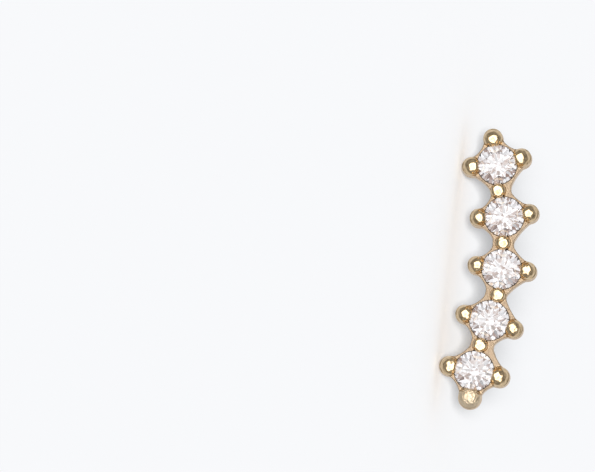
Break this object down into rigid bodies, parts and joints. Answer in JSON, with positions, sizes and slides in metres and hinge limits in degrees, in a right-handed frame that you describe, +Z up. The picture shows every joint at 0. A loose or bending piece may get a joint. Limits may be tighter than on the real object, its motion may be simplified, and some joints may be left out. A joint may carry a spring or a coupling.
{
  "type": "ear climber",
  "caption": "Ear climber: a gently curved row of round cut stones held by shared prongs, with a straight post behind its lobe end that goes through a pierced ear.",
  "frame": {"origin": "middle of the part's outline, on the surface that it rests on", "axes": "+X along the row from its top end to its lobe end, -Y the way the stones face, +Z up from the surface; the post runs back along +Y"},
  "size_m": [0.0144, 0.0126, 0.0045],
  "materials": {
    "gold_vermeil": "polished yellow-gold plating, brushed at the lobe-end prong",
    "stone": "polished facets"
  },
  "bodies": {
    "root": {"setting": "gold_vermeil", "stone_1": "stone", "stone_2": "stone", "stone_3": "stone", "stone_4": "stone", "stone_5": "stone"}
  },
  "joints": []
}
